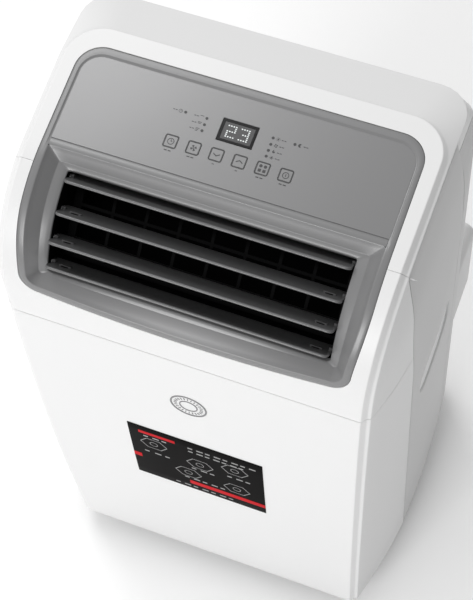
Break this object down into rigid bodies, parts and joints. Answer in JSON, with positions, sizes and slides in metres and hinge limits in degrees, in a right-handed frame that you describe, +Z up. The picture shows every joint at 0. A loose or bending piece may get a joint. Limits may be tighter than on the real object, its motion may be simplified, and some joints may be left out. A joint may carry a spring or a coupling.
{
  "type": "portable air conditioner",
  "caption": "Floor-standing portable air conditioner on casters, with a bowed front, louvred air outlet, key panel, side hand holds and a rear exhaust adaptor.",
  "frame": {"origin": "on the floor under the centre of the overall box, between the casters", "axes": "+Z up from the floor, front with the louvred outlet facing -Y, +X to the right of someone looking at the front"},
  "size_m": [0.395, 0.345, 0.701],
  "materials": {
    "white_shell": "satin",
    "side_shell": "satin",
    "rear_trim": "satin",
    "base_plastic": "matte",
    "bezel_grey": "gloss",
    "panel_grey": "gloss",
    "blade_grey": "satin",
    "display_black": "gloss",
    "board": "satin",
    "duct_black": "matte",
    "motor_steel": "brushed",
    "coil_aluminium": "brushed",
    "compressor_paint": "gloss",
    "pipe_copper": "bright",
    "filter_mesh": "matte",
    "black_rubber": "matte",
    "badge_metal": "satin",
    "label_black": "gloss",
    "caster_plastic": "satin"
  },
  "bodies": {
    "casing": {"lower_front_panel": "white_shell", "upper_front_frame": "white_shell", "top_cover": "white_shell", "left_side_panel": "side_shell", "right_side_panel": "side_shell", "back_panel": "side_shell", "exhaust_adaptor": "rear_trim", "base_pan": "base_plastic", "drip_tray": "base_plastic", "upper_scroll": "base_plastic", "lower_scroll": "base_plastic", "outlet_bezel": "bezel_grey", "control_panel": "panel_grey", "display_window": "display_black", "indicator_lamps": "display_black", "control_board": "board", "outlet_duct": "duct_black", "outlet_grille": "duct_black", "louvre_motor": "motor_steel", "upper_motor": "motor_steel", "lower_motor": "motor_steel", "electrical_box": "motor_steel", "casing_screws": "motor_steel", "evaporator": "coil_aluminium", "condenser": "coil_aluminium", "compressor": "compressor_paint", "refrigerant_pipes": "pipe_copper", "compressor_feet": "black_rubber", "cord_gland": "black_rubber", "front_badge": "badge_metal", "front_label": "label_black"},
    "key_timer": {"key_timer": "panel_grey"},
    "key_fan": {"key_fan": "panel_grey"},
    "key_down": {"key_down": "panel_grey"},
    "key_up": {"key_up": "panel_grey"},
    "key_mode": {"key_mode": "panel_grey"},
    "key_power": {"key_power": "panel_grey"},
    "louvre_1": {"louvre_blade_1": "blade_grey"},
    "louvre_2": {"louvre_blade_2": "blade_grey"},
    "louvre_3": {"louvre_blade_3": "blade_grey"},
    "louvre_4": {"louvre_blade_4": "blade_grey"},
    "louvre_link": {"louvre_link": "duct_black"},
    "upper_fan": {"upper_blower": "duct_black"},
    "lower_fan": {"lower_blower": "duct_black"},
    "upper_intake": {"upper_intake_grille": "rear_trim", "upper_filter": "filter_mesh"},
    "lower_intake": {"lower_intake_grille": "rear_trim", "lower_filter": "filter_mesh"},
    "drain_cap_upper": {"drain_cap_upper": "black_rubber"},
    "drain_cap_lower": {"drain_cap_lower": "black_rubber"},
    "caster_1": {"caster_fork_1": "caster_plastic"},
    "wheel_1": {"caster_wheel_1": "caster_plastic"},
    "caster_2": {"caster_fork_2": "caster_plastic"},
    "wheel_2": {"caster_wheel_2": "caster_plastic"},
    "caster_3": {"caster_fork_3": "caster_plastic"},
    "wheel_3": {"caster_wheel_3": "caster_plastic"},
    "caster_4": {"caster_fork_4": "caster_plastic"},
    "wheel_4": {"caster_wheel_4": "caster_plastic"}
  },
  "joints": [
    {"name": "key_timer_press", "type": "slide", "parent": "casing", "child": "key_timer", "axis": [0, 0.0941, -0.9956], "range_m": [0, 0.0008], "stiffness_N_per_m": 300},
    {"name": "key_fan_press", "type": "slide", "parent": "casing", "child": "key_fan", "axis": [0, 0.0941, -0.9956], "range_m": [0, 0.0008], "stiffness_N_per_m": 300},
    {"name": "key_down_press", "type": "slide", "parent": "casing", "child": "key_down", "axis": [0, 0.0941, -0.9956], "range_m": [0, 0.0008], "stiffness_N_per_m": 300},
    {"name": "key_up_press", "type": "slide", "parent": "casing", "child": "key_up", "axis": [0, 0.0941, -0.9956], "range_m": [0, 0.0008], "stiffness_N_per_m": 300},
    {"name": "key_mode_press", "type": "slide", "parent": "casing", "child": "key_mode", "axis": [0, 0.0941, -0.9956], "range_m": [0, 0.0008], "stiffness_N_per_m": 300},
    {"name": "key_power_press", "type": "slide", "parent": "casing", "child": "key_power", "axis": [0, 0.0941, -0.9956], "range_m": [0, 0.0008], "stiffness_N_per_m": 300},
    {"name": "louvre_1_swing", "type": "hinge", "parent": "casing", "child": "louvre_1", "pos_m": [0, -0.03942, 0.66374], "axis": [1, 0, 0], "range_deg": [-25, 15]},
    {"name": "louvre_2_swing", "type": "hinge", "parent": "casing", "child": "louvre_2", "pos_m": [0, -0.06512, 0.64904], "axis": [1, 0, 0], "range_deg": [-25, 15]},
    {"name": "louvre_3_swing", "type": "hinge", "parent": "casing", "child": "louvre_3", "pos_m": [0, -0.08792, 0.63544], "axis": [1, 0, 0], "range_deg": [-25, 15]},
    {"name": "louvre_4_swing", "type": "hinge", "parent": "casing", "child": "louvre_4", "pos_m": [0, -0.10262, 0.61474], "axis": [1, 0, 0], "range_deg": [-25, 15]},
    {"name": "louvre_link_turn", "type": "hinge", "parent": "louvre_1", "child": "louvre_link", "pos_m": [0, -0.03273, 0.65631], "axis": [1, 0, 0], "range_deg": [-15, 25]},
    {"name": "upper_fan_spin", "type": "hinge", "parent": "casing", "child": "upper_fan", "pos_m": [0, 0, 0.502], "axis": [0, 1, 0], "continuous": true},
    {"name": "lower_fan_spin", "type": "hinge", "parent": "casing", "child": "lower_fan", "pos_m": [0.095, 0, 0.168], "axis": [0, 1, 0], "continuous": true},
    {"name": "upper_intake_pull", "type": "slide", "parent": "casing", "child": "upper_intake", "axis": [0, 1, 0], "range_m": [0, 0.04]},
    {"name": "lower_intake_pull", "type": "slide", "parent": "casing", "child": "lower_intake", "axis": [0, 1, 0], "range_m": [0, 0.04]},
    {"name": "drain_cap_upper_pull", "type": "slide", "parent": "casing", "child": "drain_cap_upper", "axis": [0, 1, 0], "range_m": [0, 0.02]},
    {"name": "drain_cap_lower_pull", "type": "slide", "parent": "casing", "child": "drain_cap_lower", "axis": [0, 1, 0], "range_m": [0, 0.02]},
    {"name": "caster_1_swivel", "type": "hinge", "parent": "casing", "child": "caster_1", "pos_m": [-0.148, -0.1165, 0.03], "axis": [0, 0, 1], "continuous": true},
    {"name": "wheel_1_spin", "type": "hinge", "parent": "caster_1", "child": "wheel_1", "pos_m": [-0.148, -0.1075, 0.0125], "axis": [1, 0, 0], "continuous": true},
    {"name": "caster_2_swivel", "type": "hinge", "parent": "casing", "child": "caster_2", "pos_m": [0.148, -0.1165, 0.03], "axis": [0, 0, 1], "continuous": true},
    {"name": "wheel_2_spin", "type": "hinge", "parent": "caster_2", "child": "wheel_2", "pos_m": [0.148, -0.1075, 0.0125], "axis": [1, 0, 0], "continuous": true},
    {"name": "caster_3_swivel", "type": "hinge", "parent": "casing", "child": "caster_3", "pos_m": [-0.148, 0.0895, 0.03], "axis": [0, 0, 1], "continuous": true},
    {"name": "wheel_3_spin", "type": "hinge", "parent": "caster_3", "child": "wheel_3", "pos_m": [-0.148, 0.0985, 0.0125], "axis": [1, 0, 0], "continuous": true},
    {"name": "caster_4_swivel", "type": "hinge", "parent": "casing", "child": "caster_4", "pos_m": [0.148, 0.0895, 0.03], "axis": [0, 0, 1], "continuous": true},
    {"name": "wheel_4_spin", "type": "hinge", "parent": "caster_4", "child": "wheel_4", "pos_m": [0.148, 0.0985, 0.0125], "axis": [1, 0, 0], "continuous": true}
  ],
  "couplings": [
    {"joint": "louvre_2_swing", "follows": "louvre_1_swing", "ratio": 1},
    {"joint": "louvre_3_swing", "follows": "louvre_1_swing", "ratio": 1},
    {"joint": "louvre_4_swing", "follows": "louvre_1_swing", "ratio": 1},
    {"joint": "louvre_link_turn", "follows": "louvre_1_swing", "ratio": -1}
  ]
}
